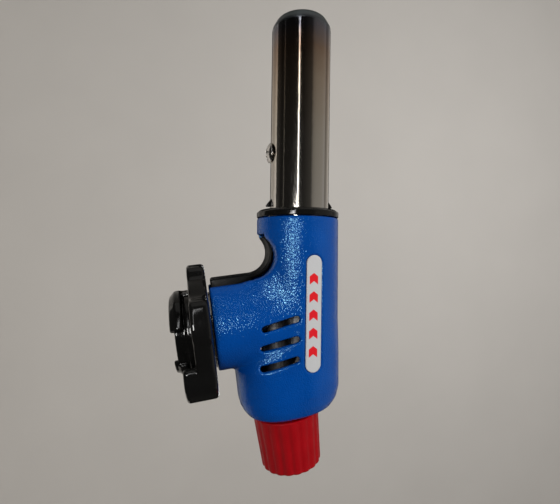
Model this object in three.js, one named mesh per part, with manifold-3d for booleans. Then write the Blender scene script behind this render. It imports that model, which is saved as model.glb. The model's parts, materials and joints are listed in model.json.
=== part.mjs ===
// Clip-on gas torch head: flame tube, two-shell body, finger trigger with piezo igniter,
// needle valve with fluted knob, and a lobed ring that locks the head onto a gas cartridge.
//
// Millimetres, +Z up. The cartridge stands below the head with its axis on Z, and the origin is
// the centre of the face that rests on the cartridge. The flame tube points along +X and rises
// a little; the knob is at -X. Y is the width, and the left shell is on the +Y side.

import * as THREE from 'three';
import { mergeVertices } from 'three/addons/utils/BufferGeometryUtils.js';
import { ConvexGeometry } from 'three/addons/geometries/ConvexGeometry.js';
import Module from 'manifold-3d';

const wasm = await Module();
wasm.setup();

// ---------------------------------------------------------------- driving dimensions

const GAP = 0.3; // between pieces that rest on each other
const RISE = THREE.MathUtils.degToRad(7.6); // how far the flame tube points above +X
const BARREL_Z = 38.4; // where the tube's axis crosses the cartridge axis
const KNOB_Z = 29.6; // height of the valve spindle's axis
const TRIGGER_Z = 18.7; // height of the trigger's arms and of the igniter
const WALL = 2.0; // moulded shells

const BODY_R = 15.2; // round barrel of the body
const BODY_RISE = THREE.MathUtils.degToRad(7.05); // the moulded barrel rises a touch less
const BODY_AXIS_DROP = 0.24; // its axis crosses the cartridge axis this far below the tube's
const BODY_FRONT = 36.4; // along the barrel axis
const BRANCH_R = 14.7; // neck towards the cartridge
const BRANCH_END = 6.9;
const BOTTOM_X = -33.4; // end of the body round the knob
const FLOOR_Z = 12.8; // underside of the body behind the neck
const REAR_RINGS = [ // sections across X where the body runs down to the knob
  { x: 0, low: 23.0, high: 53.4, half: BODY_R },
  { x: -14.5, low: FLOOR_Z, high: 51.6, half: BODY_R },
  { x: -26.0, low: FLOOR_Z, high: 50.2, half: BODY_R },
  { x: -29.5, low: 13.7, high: 48.8, half: 14.9 },
  { x: -31.9, low: 15.3, high: 46.6, half: 14.1 },
  { x: BOTTOM_X, low: 17.7, high: 43.2, half: 12.7 },
];

const NOTCH = { x: 24.6, z: 22.6, r: 8.1 }; // finger notch in the shells
const PAD = { x: 16.0, half: 8.4, bevel: 2.0 }; // flat round the trigger on the neck
const SLOT = { back: 9.0, front: 31.8, half: 5.9, low: 5, high: 33.4 }; // where the trigger slides
const TRIGGER = { x: 25.8, z: 22.1, r: 7.6, thick: 1.4, half: 5.5, tip: 52, foot: 7.7, back: 9.4 };
const ARM = { half: 6.4, inner: 4.7, back: -8.6, bar: -6.6, tall: 2.6 };
const TRIGGER_TRAVEL = 4;

const VENT = { length: 13.6, width: 2.2, pitch: 6.8, s: -7.3, w: -9.4, slope: 0.29 };
const LABEL = { length: 40, width: 5.6, s: 3.0, w: 1.8 };
const SHELL_SCREWS = [[-23.0, 44.6], [-30.2, 17.0], [-9.6, 11.6], [18.6, 50.2]]; // x, z of each
const SCREW = { seat: -6.0, headR: 2.7, headTall: 1.8, shankR: 1.3, tip: 7.5, boss: 2.7, well: 4.0 };

const TUBE_R = 11.0;
const TUBE_WALL = 0.8;
const TUBE_BORE = TUBE_R - TUBE_WALL;
const TUBE_BACK = 31.0;
const TUBE_TIP = 110.2;
const BARB = { behind: 1.3, long: 3.1, proud: 1.6, half: 1.6 }; // holds the collar on the tube
const COLLAR_R = 15.3;
const COLLAR_TOP = 39.4;
const HOLDER_AT = 60.5; // flame holder and its screw, along the tube
const HOLDER = { back: 4, front: 3, socket: 5.4, core: 3.0, portR: 1.05, portAt: 7.7, ports: 10 };
const MIXER_R = 4.2; // outside of the mixing tube
const LEAD_AT = 7.1; // how far the insulator and electrode lie from the tube's axis
const INSULATOR = { r: 2.0, bore: 0.8, back: 24.5, front: 54.0 };

const STEM_R = 6.3; // valve casting round the spindle
const STEM_BACK = 23.5;
const CHAMBER_R = 2.9;
const GLAND = { r: 4.3, across: 9.5, from: 20.8, face: 23.9, to: 26.4, bore: 2.8 };
const SPINDLE_R = 2.1;
const SPINDLE_END = 46.0;
const KNOB_FLAT = { from: 26.6, depth: 1.6 }; // where the spindle is flatted to drive the knob

const KNOB_START = 33.9; // along the spindle
const KNOB_END = 53.2;
const KNOB_R = 12.2;
const KNOB_END_R = 10.9;
const FLUTES = 20;
const FLUTE_DEPTH = 0.55;
const KNOB_NECK = { r: 7.6, from: 29.3, flange: 9.4, flangeTo: 31.1 }; // trapped behind the shells

const RING_TOP = 6.2;
const RING_LOBE_R = 23.8;
const RING_VALLEY_R = 20.2;
const RING_LOBES = 5;
const RING_TURN = THREE.MathUtils.degToRad(-2); // where the first lobe stands
const THICK_LOBE = { middle: 142, width: 52, inner: 17.5, end: -4.3 };
const RING_BORE = 9.5;
const STEP = { r: 14.4, end: -2.0 };
const BOSS_R = 12.9;
const BOSS_END = -7.0;
const LUG = { top: -2.8, chamfer: 2.0 };
const LUG_STOP = { middle: 10, width: 16, r: 15.3 }; // joins the first lug's end to the ring
const LUGS = [ // degrees round the cartridge axis from +X
  { middle: 38, width: 72, r: 15.5 },
  { middle: 146, width: 40, r: 14.0 },
  { middle: 262, width: 60, r: 15.5 },
];

const PIEZO = { r: 3.6, front: 14.5, back: 27.0, bore: 1.8, boreEnd: 24.0 };
const PLUNGER = { r: 1.5, front: 8.9, back: 19.2 };
const SPRING = { r: 2.5, wire: 0.25, front: 9.4, back: 14.0, turns: 3 };

const BLUE = 0x00337d;
const RED = 0x91060f;
const BLACK = 0x0b0c0c;
const WHITE = 0xd8d8d4;
const STEEL = 0x8d8a84;
const BRASS = 0xb08d4a;
const ZINC = 0x9a9b9c;
const RUBBER = 0x141414;

// ---------------------------------------------------------------- frames

const at = (x, y, z) => new THREE.Matrix4().makeTranslation(x, y, z);
const vec = (x, y, z) => new THREE.Vector3(x, y, z);
const basis = (ax, ay, az) => new THREE.Matrix4().makeBasis(ax, ay, az);
const UPRIGHT = new THREE.Matrix4();

// Local Z along an axis that rises above +X, local X down towards the cartridge.
function rising(angle, height) {
  return at(0, 0, height).multiply(basis(
    vec(Math.sin(angle), 0, -Math.cos(angle)), vec(0, 1, 0), vec(Math.cos(angle), 0, Math.sin(angle))));
}

// Local Z towards the knob at one height, local X up.
const towardsKnob = (height) => at(0, 0, height).multiply(basis(vec(0, 0, 1), vec(0, 1, 0), vec(-1, 0, 0)));

const BARREL = rising(RISE, BARREL_Z);
const BODY = rising(BODY_RISE, BARREL_Z - BODY_AXIS_DROP);
const SPINDLE = towardsKnob(KNOB_Z);
const IGNITER = towardsKnob(TRIGGER_Z);
// local X, Y are the part's X, Z, and local Z is across the part
const SIDE = basis(vec(1, 0, 0), vec(0, 0, 1), vec(0, -1, 0));
// in the barrel: local Z towards the cartridge, from the axis
const TOWARDS_CARTRIDGE = basis(vec(0, 0, -1), vec(0, 1, 0), vec(1, 0, 0));
// in the barrel: local Z across the part, local X and Y along and up, for marks on its side
const BARREL_SIDE = basis(vec(0, 0, 1), vec(-1, 0, 0), vec(0, -1, 0));

// ---------------------------------------------------------------- solids

function solid(geometry, frame = UPRIGHT) {
  const bare = geometry.clone().applyMatrix4(frame);
  for (const name of Object.keys(bare.attributes)) {
    if (name !== 'position') bare.deleteAttribute(name);
  }
  const welded = mergeVertices(bare, 1e-4);
  return new wasm.Manifold(new wasm.Mesh({
    numProp: 3,
    vertProperties: new Float32Array(welded.attributes.position.array),
    triVerts: new Uint32Array(welded.index.array),
  }));
}

const join = (...solids) => solids.reduce((all, one) => all.add(one));
const cut = (from, ...tools) => tools.reduce((rest, tool) => rest.subtract(tool), from);

// A turned piece: [radius, height] points round local Z, closed onto the axis or onto itself.
function turned(points, frame = UPRIGHT, segments = 32) {
  const spun = new THREE.LatheGeometry(points.map(([r, h]) => new THREE.Vector2(r, h)), segments);
  spun.rotateX(Math.PI / 2);
  const body = solid(spun, frame);
  return body.volume() > 0 ? body : solid(flipped(spun), frame);
}

function flipped(geometry) {
  const copy = geometry.clone();
  const index = copy.index.array;
  for (let i = 0; i < index.length; i += 3) {
    [index[i], index[i + 1]] = [index[i + 1], index[i]];
  }
  return copy;
}

const rod = (r, from, to, frame = UPRIGHT, segments = 24) =>
  turned([[0, from], [r, from], [r, to], [0, to]], frame, segments);

const pipe = (inner, outer, from, to, frame = UPRIGHT, segments = 32) =>
  turned([[inner, from], [outer, from], [outer, to], [inner, to], [inner, from]], frame, segments);

function block(x0, x1, y0, y1, z0, z1, frame = UPRIGHT) {
  const box = new THREE.BoxGeometry(x1 - x0, y1 - y0, z1 - z0);
  box.translate((x0 + x1) / 2, (y0 + y1) / 2, (z0 + z1) / 2);
  return solid(box, frame);
}

// An outline extruded along local Z from one height to another.
function prism(shape, from, to, frame = UPRIGHT, curveSegments = 12) {
  const body = new THREE.ExtrudeGeometry(shape, { depth: to - from, bevelEnabled: false, curveSegments });
  body.translate(0, 0, from);
  return solid(body, frame);
}

const polygon = (points) => new THREE.Shape(points.map(([x, y]) => new THREE.Vector2(x, y)));

function circle(x, y, r) {
  const shape = new THREE.Shape();
  shape.absarc(x, y, r, 0, 2 * Math.PI, false);
  return shape;
}

// A slot with round ends along local X.
function pill(length, width) {
  const shape = new THREE.Shape();
  const half = (length - width) / 2;
  shape.absarc(half, 0, width / 2, -Math.PI / 2, Math.PI / 2, false);
  shape.absarc(-half, 0, width / 2, Math.PI / 2, 1.5 * Math.PI, false);
  return shape;
}

// Points evenly round a circle, with a radius that may depend on the angle.
function around(count, radius) {
  return Array.from({ length: count }, (_, i) => {
    const angle = 2 * Math.PI * i / count;
    const r = typeof radius === 'function' ? radius(angle) : radius;
    return [r * Math.cos(angle), r * Math.sin(angle)];
  });
}

const hexagon = (acrossFlats) => polygon(around(6, acrossFlats / Math.sqrt(3)));

// A wedge of a disc, for keeping one lobe or lug: its middle and width in degrees, and inner radius.
function sector(middle, width, inner) {
  const from = THREE.MathUtils.degToRad(middle - width / 2);
  const to = THREE.MathUtils.degToRad(middle + width / 2);
  const shape = new THREE.Shape();
  shape.absarc(0, 0, 40, from, to, false);
  shape.absarc(0, 0, inner, to, from, true);
  return prism(shape, -20, 20, UPRIGHT, 6);
}

function sweep(points, radius, sides, steps) {
  const extrudePath = new THREE.CatmullRomCurve3(points.map((p) => vec(...p)));
  const section = polygon(around(sides, radius));
  return solid(new THREE.ExtrudeGeometry(section, { steps, extrudePath, bevelEnabled: false }));
}

function ringSeal(radius, thickness, height) {
  const section = around(6, thickness).map(([x, y]) => [radius + x, height + y]);
  return turned([...section, section[0]], UPRIGHT, 20);
}

// A rod across the part through one x, z place.
function acrossRod([x, z], r, y0, y1, segments) {
  const frame = at(x, 0, z).multiply(basis(vec(0, 0, 1), vec(1, 0, 0), vec(0, 1, 0)));
  return rod(r, y0, y1, frame, segments);
}

// A cross recess cut down into a head: arm length and half width, from one height upwards.
const crossRecess = (arm, half, from, frame) => join(
  block(-arm, arm, -half, half, from, from + 10, frame),
  block(-half, half, -arm, arm, from, from + 10, frame));

// ---------------------------------------------------------------- scene graph

const torch = new THREE.Group();

function branchGroup(matrix) {
  const group = new THREE.Group();
  group.applyMatrix4(matrix);
  torch.add(group);
  return group;
}

const onBarrel = branchGroup(BARREL);
const onSpindle = branchGroup(SPINDLE);
const onIgniter = branchGroup(IGNITER);

function piece(parent, name, body, look) {
  const mesh = body.getMesh();
  const geometry = new THREE.BufferGeometry();
  geometry.setAttribute('position', new THREE.BufferAttribute(new Float32Array(mesh.vertProperties), 3));
  geometry.setIndex(new THREE.BufferAttribute(new Uint32Array(mesh.triVerts), 1));
  geometry.computeVertexNormals();
  const node = new THREE.Mesh(geometry, look);
  node.name = name;
  parent.add(node);
}

const plastic = (color, roughness) => new THREE.MeshStandardMaterial({ color, roughness });
const metal = (color, roughness) => new THREE.MeshStandardMaterial({ color, roughness, metalness: 1 });

// ---------------------------------------------------------------- body shells

// The rear of the body: rings across X that run from the barrel down to the knob's boss.
function rearHull(inset) {
  const swell = (value) => Math.sign(value) * Math.abs(value) ** 0.8;
  const points = REAR_RINGS.flatMap((ring) => {
    const x = Math.max(ring.x, BOTTOM_X + inset);
    const middle = (ring.low + ring.high) / 2;
    const tall = (ring.high - ring.low) / 2 - inset;
    return around(24, 1).map(([c, s]) => vec(x, (ring.half - inset) * swell(c), middle + tall * swell(s)));
  });
  return solid(new ConvexGeometry(points));
}

const notchTool = (extra) => prism(circle(NOTCH.x, NOTCH.z, NOTCH.r + extra), -20, 20, SIDE, 20);

function bodyOutside() {
  const barrel = rod(BODY_R, -25, BODY_FRONT, BODY, 40);
  const branch = rod(BRANCH_R, BRANCH_END, BARREL_Z, UPRIGHT, 40);
  const half = PAD.half;
  const pad = prism(polygon([
    [0, -half - PAD.bevel], [PAD.x - PAD.bevel, -half], [PAD.x, PAD.bevel - half],
    [PAD.x, half - PAD.bevel], [PAD.x - PAD.bevel, half], [0, half + PAD.bevel]]), BRANCH_END, NOTCH.z);
  const notchCorner = block(0, 24, -11, 11, NOTCH.z - 1, 30);
  const openFront = block(NOTCH.x, 40, -16, 16, 0, NOTCH.z);
  return cut(join(barrel, branch, pad, rearHull(0), notchCorner), notchTool(0), openFront);
}

function bodyInside() {
  const barrel = rod(BODY_R - WALL, -22, TUBE_BACK - 0.5, BODY, 24);
  const branch = rod(BRANCH_R - WALL, BRANCH_END - 1, BARREL_Z, UPRIGHT, 24);
  const tubeSeat = rod(TUBE_R + GAP, TUBE_BACK - 1, BODY_FRONT + 1, BARREL, 32);
  const room = 0.6;
  const armPath = block(ARM.back - TRIGGER_TRAVEL - room, 0, -ARM.half - room, ARM.half + room,
    TRIGGER_Z - ARM.tall - room, TRIGGER_Z + ARM.tall + room);
  return join(cut(join(barrel, branch, rearHull(WALL)), notchTool(WALL)), tubeSeat, armPath);
}

// A slanted outline on the barrel's side, cut right through it.
function throughBarrel(shape, s, w, slope, curveSegments) {
  const frame = BARREL.clone().multiply(at(-w, 0, s)).multiply(BARREL_SIDE)
    .multiply(new THREE.Matrix4().makeRotationZ(Math.PI / 2 - slope));
  return prism(shape, -20, 20, frame, curveSegments);
}

function ventTools() {
  return [1, 0, -1].map((row) =>
    throughBarrel(pill(VENT.length, VENT.width), VENT.s + row * VENT.pitch, VENT.w, VENT.slope, 6));
}

function labelPrism(margin) {
  const outline = pill(LABEL.length + 2 * margin, LABEL.width + 2 * margin);
  return throughBarrel(outline, LABEL.s, LABEL.w, Math.PI / 2, 8);
}

function shells() {
  const outside = bodyOutside();
  const hollow = cut(outside, bodyInside());
  const bosses = SHELL_SCREWS.map((place) => join(
    acrossRod(place, SCREW.boss, -13, 11.5, 20), acrossRod(place, SCREW.well, -16, SCREW.seat + 1.2, 24)));
  const withBosses = join(hollow, ...bosses.map((boss) => boss.intersect(outside)));
  const screwHoles = SHELL_SCREWS.flatMap((place) => [
    acrossRod(place, SCREW.shankR + 0.4, -20, SCREW.tip + 1.5, 16),
    acrossRod(place, SCREW.headR + 0.4, -20, SCREW.seat, 24)]);
  const triggerSlot = block(SLOT.back, SLOT.front, -SLOT.half, SLOT.half, SLOT.low, SLOT.high);
  const knobHole = rod(KNOB_NECK.r + 0.4, 28, 40, SPINDLE, 32);
  const labelSkin = cut(labelPrism(GAP), rod(BODY_R - 0.55, -40, 60, BODY, 40));
  const whole = cut(withBosses, ...screwHoles, triggerSlot, knobHole, labelSkin, ...ventTools());
  piece(torch, 'shell_left', cut(whole, block(-60, 60, -30, GAP / 2, -10, 80)), plastic(BLUE, 0.45));
  piece(torch, 'shell_right', cut(whole, block(-60, 60, -GAP / 2, 30, -10, 80)), plastic(BLUE, 0.45));
}

function shellScrew([x, z]) {
  const face = SCREW.seat - GAP;
  const shank = acrossRod([x, z], SCREW.shankR, face - 1, SCREW.tip, 12);
  const head = acrossRod([x, z], SCREW.headR, face - SCREW.headTall, face, 20);
  const frame = at(x, 0, z).multiply(basis(vec(1, 0, 0), vec(0, 0, 1), vec(0, -1, 0)));
  return cut(join(shank, head), crossRecess(1.5, 0.35, 0.9 - face, frame));
}

function label(side) {
  const skin = pipe(BODY_R - 0.25, BODY_R + 0.12, -40, 60, BODY, 48).intersect(labelPrism(0));
  return skin.intersect(block(-60, 60, Math.min(side, 30 * side), Math.max(side, 30 * side), -10, 80));
}

// ---------------------------------------------------------------- flame tube and burner

function flameTube() {
  const wall = turned([
    [TUBE_BORE, TUBE_BACK], [TUBE_R, TUBE_BACK], [TUBE_R, TUBE_TIP - 2.4], [TUBE_R - 0.35, TUBE_TIP - 1.1],
    [TUBE_R - 1.3, TUBE_TIP - 0.2], [TUBE_R - 1.9, TUBE_TIP], [TUBE_R - 2.2, TUBE_TIP - 0.5],
    [TUBE_R - 1.5, TUBE_TIP - 1.3], [TUBE_BORE, TUBE_TIP - 2.9], [TUBE_BORE, TUBE_BACK]], UPRIGHT, 40);
  const root = COLLAR_TOP + BARB.behind;
  const wedge = polygon([
    [TUBE_R - 0.5, root], [TUBE_R + BARB.proud, root],
    [TUBE_R + BARB.proud, root + 0.6], [TUBE_R - 0.5, root + BARB.long]]);
  const barbs = [1, -1].map((side) =>
    prism(wedge, -BARB.half, BARB.half, basis(vec(side, 0, 0), vec(0, 0, 1), vec(0, -side, 0))));
  return cut(join(wall, ...barbs), rod(2.3, 5, 20, radial(HOLDER_AT), 16));
}

// In the barrel: local Z from the axis towards the cartridge, at one place along it.
const radial = (s) => at(0, 0, s).multiply(TOWARDS_CARTRIDGE);

function frontCollar() {
  const back = BODY_FRONT + GAP;
  const ring = turned([
    [0, back], [COLLAR_R, back], [COLLAR_R, COLLAR_TOP - 1.3], [COLLAR_R - 0.6, COLLAR_TOP - 0.5],
    [COLLAR_R - 1.7, COLLAR_TOP], [0, COLLAR_TOP]], BODY, 40);
  return cut(ring, rod(TUBE_R + GAP, back - 3, COLLAR_TOP + 3, BARREL, 40));
}

// A disc with a ring of small ports; the mixing tube sits in its back and the flame on its front.
function flameHolder() {
  const back = HOLDER_AT - HOLDER.back;
  const front = HOLDER_AT + HOLDER.front;
  const socket = rod(HOLDER.socket, back - 1, HOLDER_AT - 0.5, UPRIGHT, 20);
  const core = rod(HOLDER.core, HOLDER_AT - 1, front + 1, UPRIGHT, 16);
  const ports = around(HOLDER.ports, HOLDER.portAt).map(([x, y]) =>
    rod(HOLDER.portR, back - 1, front + 1, at(x, y, 0).premultiply(
      new THREE.Matrix4().makeRotationZ(Math.PI / HOLDER.ports)), 8));
  const lead = rod(0.9, back - 1, front + 1, at(0, LEAD_AT, 0), 8);
  const screwHole = rod(2.0 + GAP, HOLDER.socket + 0.5, 12, radial(HOLDER_AT), 16);
  return cut(rod(TUBE_BORE - GAP, back, front, UPRIGHT, 32), socket, core, ...ports, lead, screwHole);
}

function holderScrew() {
  const shank = rod(2.0, 6.4, 11.4, radial(HOLDER_AT), 12);
  const head = turned([[0, 11.25], [3.9, 11.25], [3.9, 11.9], [3.4, 12.5], [2.4, 12.8], [0, 12.8]],
    radial(HOLDER_AT), 24);
  return cut(join(shank, head), crossRecess(2.2, 0.4, 11.9, radial(HOLDER_AT)));
}

// Air joins the gas through four holes at its back, and its front ends in the flame holder.
function mixingTube() {
  const front = HOLDER_AT - 0.8;
  const wall = turned([
    [3.6, 9.0], [4.8, 9.0], [4.8, 20.0], [MIXER_R, 24.0], [MIXER_R, 48.0], [4.9, 53.0], [4.9, front],
    [4.2, front], [4.2, 53.0], [3.4, 48.0], [3.4, 24.0], [3.6, 20.0], [3.6, 9.0]], UPRIGHT, 20);
  const airHoles = [1, 3, 5, 7].map((eighth) => rod(1.5, 2, 8,
    new THREE.Matrix4().makeRotationZ(eighth * Math.PI / 4).multiply(radial(14)), 10));
  return cut(wall, ...airHoles);
}

// The ring that centres the flame tube on the mixing tube, with airways and the insulator's hole.
function tubeSocket() {
  const ring = pipe(MIXER_R + GAP, TUBE_BORE - GAP, 31.5, 37.5, UPRIGHT, 28);
  const holes = around(6, LEAD_AT).map(([x, y], i) =>
    rod(i === 0 ? INSULATOR.r + GAP : 1.9, 30, 40, at(-y, x, 0), i === 0 ? 16 : 10));
  return cut(ring, ...holes);
}

function gasJet() {
  const hex = prism(hexagon(5.6), 5.6, 8.4);
  const nose = turned([[0, 8.0], [2.0, 8.0], [1.2, 11.0], [0, 11.0]], UPRIGHT, 20);
  const thread = rod(1.9, 2.4, 6.0, UPRIGHT, 20);
  return cut(join(hex, nose, thread), rod(0.5, 0, 12, UPRIGHT, 10));
}

const insulator = () =>
  pipe(INSULATOR.bore, INSULATOR.r, INSULATOR.back, INSULATOR.front, at(0, LEAD_AT, 0), 16);

// The steel electrode runs through the insulator and bends in over the flame holder.
function electrode() {
  return sweep([[0, LEAD_AT, 25.5], [0, LEAD_AT, 45], [0, LEAD_AT, 66.5],
    [0, 6.6, 68.6], [0, 4.8, 70.0], [0, 3.2, 70.8]], 0.5, 6, 24);
}

// ---------------------------------------------------------------- gas valve

function valveBody() {
  const neck = join(rod(5.2, 9.6, 14.5), rod(4.2, 10, 24.5), rod(5.2, 23.5, KNOB_Z));
  const stem = rod(STEM_R, -5.5, STEM_BACK, SPINDLE, 36);
  const outlet = rod(5.6, -12, 5.2, BARREL, 36);
  const web = block(-11, 3, -3.5, 3.5, KNOB_Z, BARREL_Z - 1);
  const inlet = rod(2.6, 0, 16.0, UPRIGHT, 20);
  const riser = rod(1.2, 15, KNOB_Z + 0.5, UPRIGHT, 12);
  const seat = rod(0.9, -0.5, 8, SPINDLE, 12);
  const chamber = rod(CHAMBER_R, 7.2, 24, SPINDLE, 24);
  const glandBore = rod(GLAND.r + GAP, 19.0, 24, SPINDLE, 24);
  const crossing = rod(1.1, KNOB_Z, BARREL_Z - 1.2, at(-9.5, 0, 0), 12);
  const jetFeed = rod(1.1, -9.8, 3, BARREL, 12);
  const jetSeat = rod(1.9 + GAP, 2.0, 6, BARREL, 20);
  const casting = join(neck, stem, outlet, web);
  return cut(casting, inlet, riser, seat, chamber, glandBore, crossing, jetFeed, jetSeat);
}

function inletNipple() {
  const body = turned([
    [0, -3.4], [1.7, -3.4], [2.1, -3.0], [2.1, 1.0], [3.4, 1.0], [3.4, 4.2], [4.4, 4.2], [4.4, 9.3],
    [2.3, 9.3], [2.3, 13.5], [0, 13.5]], UPRIGHT, 20);
  return cut(body, rod(0.8, -5, 10), rod(1.5, 9.0, 15));
}

const inletFilter = () => rod(1.3, 10.6, 12.4);
const seatGasket = () => pipe(3.7, 7.3, 2.5, 3.7);

function valveSpindle() {
  const body = turned([
    [0, 7.9], [0.6, 8.2], [SPINDLE_R, 11.5], [SPINDLE_R, 14.4], [1.6, 14.4], [1.6, 16.0],
    [SPINDLE_R, 16.0], [SPINDLE_R, 20.0], [2.5, 20.0], [2.5, 24.2], [SPINDLE_R, 24.2],
    [SPINDLE_R, SPINDLE_END], [0, SPINDLE_END]], UPRIGHT, 16);
  return cut(body, block(KNOB_FLAT.depth, 6, -6, 6, KNOB_FLAT.from, SPINDLE_END + 4));
}

function glandNut() {
  const hex = prism(hexagon(GLAND.across), GLAND.face, GLAND.to);
  const nut = join(hex, rod(GLAND.r, GLAND.from, GLAND.face + 0.3));
  return cut(nut, rod(GLAND.bore, GLAND.from - 1, GLAND.to + 1));
}

// A fluted drum that tapers to its end, with a neck and a flange trapped behind the shells.
function gasKnob() {
  const outline = polygon(around(FLUTES * 4, (angle) =>
    KNOB_R - FLUTE_DEPTH * Math.abs(Math.sin(FLUTES * angle / 2)) ** 3));
  const drum = new THREE.ExtrudeGeometry(outline, { depth: KNOB_END - KNOB_START, bevelEnabled: false });
  drum.translate(0, 0, KNOB_START);
  const place = drum.attributes.position;
  for (let i = 0; i < place.count; i += 1) {
    const along = (place.getZ(i) - KNOB_START) / (KNOB_END - KNOB_START);
    const shrink = THREE.MathUtils.lerp(1, KNOB_END_R / KNOB_R, along);
    place.setXY(i, place.getX(i) * shrink, place.getY(i) * shrink);
  }
  const neck = rod(KNOB_NECK.r, KNOB_NECK.from, KNOB_START + 1, UPRIGHT, 32);
  const flange = rod(KNOB_NECK.flange, KNOB_NECK.from, KNOB_NECK.flangeTo, UPRIGHT, 32);
  const dish = rod(8.6, KNOB_END - 0.8, KNOB_END + 1, UPRIGHT, 32);
  const flat = block(KNOB_FLAT.depth + GAP, 6, -6, 6, 20, 60);
  const socket = cut(rod(SPINDLE_R + GAP, 20, 50.5), flat);
  return cut(join(solid(drum), neck, flange), dish, socket);
}

// ---------------------------------------------------------------- cartridge lock

// Five flat-topped lobes for the fingers, with scooped valleys between them.
function lobeOutline() {
  const middle = (RING_LOBE_R + RING_VALLEY_R) / 2;
  const swing = (RING_LOBE_R - RING_VALLEY_R) / 2;
  return polygon(around(80, (angle) =>
    middle + swing * Math.tanh(2.2 * Math.cos(RING_LOBES * (angle - RING_TURN))) / Math.tanh(2.2)));
}

// The ring turns on the guide. Its boss drops into the cartridge's collar and three lugs lock it.
function lockRing() {
  const wheel = prism(lobeOutline(), 0, RING_TOP);
  const thickLobe = prism(lobeOutline(), THICK_LOBE.end, 0.1)
    .intersect(sector(THICK_LOBE.middle, THICK_LOBE.width, THICK_LOBE.inner));
  const boss = join(rod(BOSS_R, BOSS_END, 0.5, UPRIGHT, 40), rod(STEP.r, STEP.end, 0.5, UPRIGHT, 40));
  const lugs = LUGS.map(({ middle, width, r }) => turned([
    [0, BOSS_END], [r - 2.4, BOSS_END], [r, BOSS_END + LUG.chamfer], [r, LUG.top], [0, LUG.top]],
  UPRIGHT, 40).intersect(sector(middle, width, 5)));
  const stop = rod(LUG_STOP.r, BOSS_END + LUG.chamfer, 0.5, UPRIGHT, 40)
    .intersect(sector(LUG_STOP.middle, LUG_STOP.width, 5));
  const bore = join(rod(RING_BORE, BOSS_END - 1, RING_TOP + 1), rod(11.1, BOSS_END - 1, -1.2));
  return cut(join(wheel, thickLobe, boss, stop, ...lugs), bore);
}

const ringWasher = () => pipe(9.6, 13.4, RING_TOP + 0.15, BRANCH_END - 0.15);

// The guide is fixed in the neck: it carries the ring, centres the cartridge and keys it.
function cartridgeGuide() {
  const sleeve = turned([
    [7.6, -4.2], [10.8, -4.2], [10.8, -1.5], [9.2, -1.5], [9.2, 7.4], [12.3, 7.4], [12.3, 9.2],
    [4.7, 9.2], [4.7, 4.0], [7.6, 4.0], [7.6, -4.2]], UPRIGHT, 32);
  const key = block(-7.9, -6.4, -1.3, 1.3, -4.2, 2.2);
  const triggerFlat = block(8.6, 14, -14, 14, 7, 10);
  const screwFlat = block(-14, -5.3, -14, 14, 7, 10);
  return cut(join(sleeve, key), triggerFlat, screwFlat);
}

// ---------------------------------------------------------------- trigger and igniter

// A face that curves out of the neck into the finger notch, on two arms joined behind the valve.
function trigger() {
  const { x, z, r, thick, half, foot, back } = TRIGGER;
  const tip = THREE.MathUtils.degToRad(TRIGGER.tip);
  const low = TRIGGER_Z - ARM.tall;
  const high = TRIGGER_Z + ARM.tall;
  const face = new THREE.Shape();
  face.moveTo(13.2, foot);
  face.lineTo(x - r - 1.0, foot);
  face.lineTo(x - r, foot + 1.0);
  face.absarc(x, z, r, Math.PI, tip, true);
  face.absarc(x, z, r + thick, tip, Math.PI, false);
  face.lineTo(x - r - 3.0, 23);
  face.lineTo(back, 23);
  face.lineTo(back, foot + 2.5);
  face.lineTo(13.2, foot + 2.5);
  const arms = block(ARM.back, back + 0.8, -ARM.half, ARM.half, low, high);
  const between = block(ARM.bar, back + 2, -ARM.inner, ARM.inner, low - 1, high + 1);
  return join(prism(face, -half, half, SIDE, 10), cut(arms, between));
}

const piezoBody = () => cut(
  rod(PIEZO.r, PIEZO.front, PIEZO.back, UPRIGHT, 28),
  rod(PIEZO.bore, PIEZO.front - 4, PIEZO.boreEnd, UPRIGHT, 20));

const piezoPlunger = () => rod(PLUNGER.r, PLUNGER.front, PLUNGER.back, UPRIGHT, 16);

function returnSpring() {
  const steps = SPRING.turns * 10;
  const points = Array.from({ length: steps + 1 }, (_, i) => {
    const angle = 2 * Math.PI * i / 10;
    const along = THREE.MathUtils.lerp(SPRING.front, SPRING.back, i / steps);
    return [SPRING.r * Math.cos(angle), SPRING.r * Math.sin(angle), along];
  });
  return sweep(points, SPRING.wire, 5, SPRING.turns * 12);
}

// High-tension lead from the igniter's rear end to the back of the electrode's insulator.
function ignitionLead() {
  const route = [[-25.2, 4.9, 18.7], [-25.0, 7.5, 19.0], [-24.0, 9.6, 21.5], [-21.0, 10.4, 27.0],
    [-15.0, 10.4, 33.0], [-6.0, 10.4, 37.0], [4.0, 10.2, 39.0], [13, 9.0, 40.0]];
  const entry = [INSULATOR.back - 4.5, INSULATOR.back - 0.4].map((s) =>
    vec(0, LEAD_AT, s).applyMatrix4(BARREL).toArray());
  return sweep([...route, ...entry], 0.9, 6, 32);
}

// ---------------------------------------------------------------- assembly

shells();
SHELL_SCREWS.forEach((place, i) => {
  piece(torch, `shell_screw_${i + 1}`, shellScrew(place), metal(STEEL, 0.3));
});
piece(torch, 'label_left', label(1), plastic(WHITE, 0.5));
piece(torch, 'label_right', label(-1), plastic(WHITE, 0.5));
piece(torch, 'front_collar', frontCollar(), plastic(BLACK, 0.2));
piece(onBarrel, 'flame_tube', flameTube(), metal(STEEL, 0.15));
piece(onBarrel, 'flame_holder', flameHolder(), metal(BRASS, 0.35));
piece(onBarrel, 'flame_holder_screw', holderScrew(), metal(STEEL, 0.2));
piece(onBarrel, 'mixing_tube', mixingTube(), metal(BRASS, 0.35));
piece(onBarrel, 'tube_socket', tubeSocket(), metal(ZINC, 0.4));
piece(onBarrel, 'gas_jet', gasJet(), metal(BRASS, 0.3));
piece(onBarrel, 'insulator', insulator(), plastic(WHITE, 0.3));
piece(onBarrel, 'electrode', electrode(), metal(STEEL, 0.3));
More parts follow.
